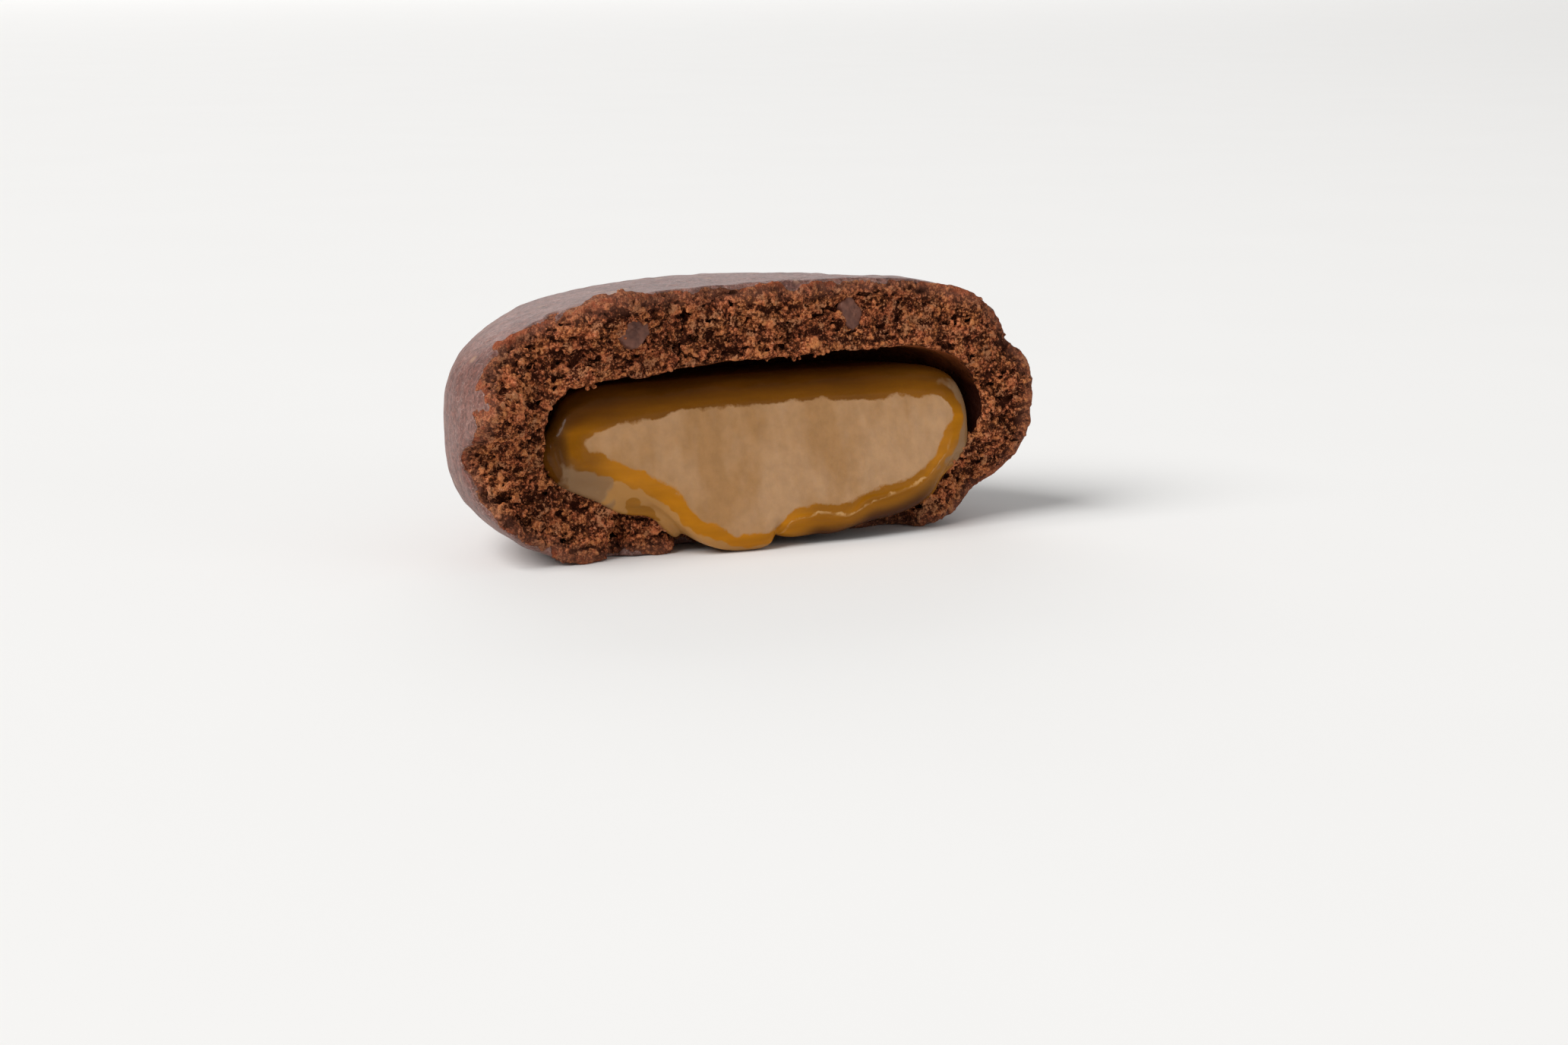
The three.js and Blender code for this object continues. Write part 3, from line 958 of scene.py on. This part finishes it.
def caramel_material(settings):
    """Soft caramel: glossy, a little clear, pale on its flat face and amber on the slopes round it; the
    face's paleness is partly a painted reflection.
    """
    material, tree = blank_material("soft_caramel")
    at = add_node(tree, "TexCoord", out="Object")
    from_face, shade, low = (
        add_node(tree, "Attribute", out="Fac", attribute_name=name) for name in ("from_face", "shade", "low")
    )
    nibbles = add_node(tree, "TexNoise", {"Vector": at, "Scale": per(1.1), "Detail": 3, "Roughness": 0.6})
    face = caramel_face(tree, at, nibbles, settings)
    slopes = caramel_slopes(tree, at, nibbles, from_face, shade, settings)

    # The face ends in a ragged line, a little lower at its top edge than the solid's.
    waves = add_node(tree, "TexNoise", {"Vector": at, "Scale": per(2.6), "Detail": 0})
    edge = add_node(tree, "Math", [waves, 1.2, from_face], operation="MULTIPLY_ADD")
    edge = add_node(tree, "Math", [nibbles, 0.8, edge], operation="MULTIPLY_ADD")
    edge = add_node(tree, "Math", [shade, 0.4, edge], operation="MULTIPLY_ADD")
    on_slopes = add_node(tree, "MapRange", [edge, 0.97, 1.17])

    # A broken hairline crest runs along the lower slope, about a millimetre from the face, lit by a painted
    # highlight.
    painted_crest_highlight = add_node(tree, "Math", [edge, -1.9], operation="ADD")
    painted_crest_highlight = add_node(tree, "Math", [painted_crest_highlight], operation="ABSOLUTE")
    painted_crest_highlight = add_node(tree, "MapRange", [painted_crest_highlight, 0.15, 0.04])
    painted_crest_highlight = add_node(tree, "Math", [painted_crest_highlight, low], operation="MULTIPLY")
    broken = add_node(tree, "MapRange", [nibbles, 0.42, 0.6, 0.1, 0.8])
    painted_crest_highlight = add_node(tree, "Math", [painted_crest_highlight, broken], operation="MULTIPLY")
    slopes = add_node(tree, "Mix", [painted_crest_highlight, slopes, linear("CCA068")], data_type="RGBA")
    colour = add_node(tree, "Mix", [on_slopes, face, slopes], data_type="RGBA")

    bump = add_node(tree, "Bump", {"Height": nibbles, "Distance": 0.06 * MM, "Strength": 1})
    gloss = {"Roughness": 0.28, "IOR": 1.49, "Specular IOR Level": 0.05}
    wet = {"Coat Weight": 0.12, "Coat Roughness": 0.08}
    clear = {"Subsurface Weight": 0.2, "Subsurface Radius": (1.0, 0.55, 0.2), "Subsurface Scale": 1.2 * MM}
    shader = add_node(tree, "BsdfPrincipled", {"Base Color": colour, "Normal": bump, **gloss, **wet, **clear})
    add_node(tree, "OutputMaterial", {"Surface": shader})
    return material


def chocolate_material(settings):
    """Dark chocolate: waxy, with a greyish bloom on its broken sides."""
    material, tree = blank_material("dark_chocolate")
    at = add_node(tree, "TexCoord", out="Object")
    bloom = add_node(tree, "TexNoise", {"Vector": at, "Scale": per(0.8), "Detail": 4})
    bloomed = add_node(tree, "MapRange", [bloom, 0.35, 0.65])
    colour = add_node(tree, "Mix", [bloomed, settings.chocolate, linear("7C5142")], data_type="RGBA")
    bump = add_node(tree, "Bump", {"Height": bloom, "Distance": 0.05 * MM, "Strength": 1})
    waxy = {"Roughness": 0.55, "Specular IOR Level": 0.25}
    shader = add_node(tree, "BsdfPrincipled", {"Base Color": colour, "Normal": bump, **waxy})
    add_node(tree, "OutputMaterial", {"Surface": shader})
    return material


def floor_material(settings):
    """Painted board: plain, pale and matte."""
    material, tree = blank_material("painted_board")
    at = add_node(tree, "TexCoord", out="Object")
    paint = add_node(tree, "TexNoise", {"Vector": at, "Scale": per(40), "Detail": 2})
    painted = add_node(tree, "MapRange", [paint, 0, 1, 0.99, 1.01])
    colour = add_node(tree, "Mix", [1, settings.floor, painted], data_type="RGBA", blend_type="MULTIPLY")
    shader = add_node(tree, "BsdfPrincipled", {"Base Color": colour, "Roughness": 0.8})
    add_node(tree, "OutputMaterial", {"Surface": shader})
    return material


# ------------ studio


def towards(azimuth, elevation):
    """The direction at a bearing from the front and a height over the level."""
    flat = math.cos(elevation)
    return Vector((math.sin(azimuth) * flat, -math.cos(azimuth) * flat, math.sin(elevation)))


def panel(name, brightness):
    """A soft light panel that faces the cookie, of the given brightness to the eye."""
    azimuth, elevation, distance, width, height = PANELS[name]
    light = bpy.data.lights.new(name, "AREA")
    light.shape = "RECTANGLE"
    light.size, light.size_y = width, height
    light.energy = brightness * math.pi * width * height
    lamp = bpy.data.objects.new(name, light)
    back = towards(math.radians(azimuth), math.radians(elevation))
    lamp.location = Vector(LIT) * MM + back * distance
    lamp.rotation_euler = (-back).to_track_quat("-Z", "Y").to_euler()
    bpy.context.scene.collection.objects.link(lamp)


def build_floor():
    """The floor's mesh, level under the cookie."""
    half = FLOOR_SIDE / 2
    mesh = bpy.data.meshes.new("floor")
    corners = [(-half, -half, 0), (half, -half, 0), (half, half, 0), (-half, half, 0)]
    mesh.from_pydata(corners, [], [range(4)])
    return mesh


def add_camera(settings):
    """The scene's camera."""
    camera = bpy.data.objects.new("camera", bpy.data.cameras.new("camera"))
    back = towards(settings.azimuth, settings.elevation)
    camera.location = Vector(AIM) * MM + back * settings.distance
    camera.rotation_euler = (-back).to_track_quat("-Z", "Y").to_euler()
    camera.data.lens = LENS
    camera.data.sensor_width = SENSOR
    camera.data.clip_start = 0.01
    bpy.context.scene.collection.objects.link(camera)
    bpy.context.scene.camera = camera


# ------------ add-on


class OBJECT_OT_cookie_dough(bpy.types.Operator):
    """Builds the dough with its skin, crumb and hollow"""

    bl_idname = "object.cookie_dough"
    bl_label = "Cookie dough"

    def execute(self, context):
        settings = context.scene.cookie
        piece = place(build_dough(settings), "cookie_dough", dough_material(settings))
        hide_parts(COOKIE)
        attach(piece, BODY)
        return {"FINISHED"}


class OBJECT_OT_cookie_caramel(bpy.types.Operator):
    """Builds the caramel that fills the hollow and runs over its lip"""

    bl_idname = "object.cookie_caramel"
    bl_label = "Caramel"

    def execute(self, context):
        settings = context.scene.cookie
        piece = place(build_caramel(settings), "caramel", caramel_material(settings))
        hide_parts(FILLING)
        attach(piece, BODY)
        return {"FINISHED"}


class OBJECT_OT_cookie_chocolate(bpy.types.Operator):
    """Builds the chocolate pieces that show in the crumb"""

    bl_idname = "object.cookie_chocolate"
    bl_label = "Chocolate pieces"

    def execute(self, context):
        settings = context.scene.cookie
        piece = place(build_chocolate(settings), "chocolate_pieces", chocolate_material(settings))
        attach(piece, BODY)
        return {"FINISHED"}


class OBJECT_OT_cookie_studio(bpy.types.Operator):
    """Builds the floor, the lights, the pale room and the camera"""

    bl_idname = "object.cookie_studio"
    bl_label = "Studio"

    def execute(self, context):
        settings = context.scene.studio
        place(build_floor(), "floor", floor_material(settings))
        add_camera(settings)
        _, _, distance, width, height = PANELS["key"]
        panel("key", settings.key * math.pi * distance**2 / (width * height))
        panel("window", settings.window)
        panel("back", settings.back)
        room = bpy.data.worlds.new("room")
        room.use_nodes = True
        sky = room.node_tree.nodes["Background"]
        sky.inputs["Color"].default_value = (1, 1, 1, 1)
        sky.inputs["Strength"].default_value = settings.sky
        context.scene.world = room
        context.scene.view_settings.view_transform = "Standard"
        return {"FINISHED"}


class VIEW3D_PT_cookie(bpy.types.Panel):
    """Lists the builders and their settings"""

    bl_idname = "VIEW3D_PT_cookie"
    bl_label = "Cacao cookie"
    bl_space_type = "VIEW_3D"
    bl_region_type = "UI"
    bl_category = "Cacao cookie"

    def draw(self, context):
        for settings in (context.scene.cookie, context.scene.studio):
            for name in settings.__annotations__:
                self.layout.prop(settings, name)
        for operator in BUILDERS:
            self.layout.operator(operator.bl_idname)


BUILDERS = (
    OBJECT_OT_cookie_dough,
    OBJECT_OT_cookie_caramel,
    OBJECT_OT_cookie_chocolate,
    OBJECT_OT_cookie_studio,
)
CLASSES = (CookieSettings, StudioSettings, *BUILDERS, VIEW3D_PT_cookie)


def register():
    for cls in CLASSES:
        bpy.utils.register_class(cls)
    bpy.types.Scene.cookie = PointerProperty(type=CookieSettings)
    bpy.types.Scene.studio = PointerProperty(type=StudioSettings)


def unregister():
    del bpy.types.Scene.studio
    del bpy.types.Scene.cookie
    for cls in reversed(CLASSES):
        bpy.utils.unregister_class(cls)


def main():
    register()
    bpy.ops.object.cookie_dough()
    bpy.ops.object.cookie_caramel()
    bpy.ops.object.cookie_chocolate()
    bpy.ops.object.cookie_studio()


if __name__ == "__main__":
    main()
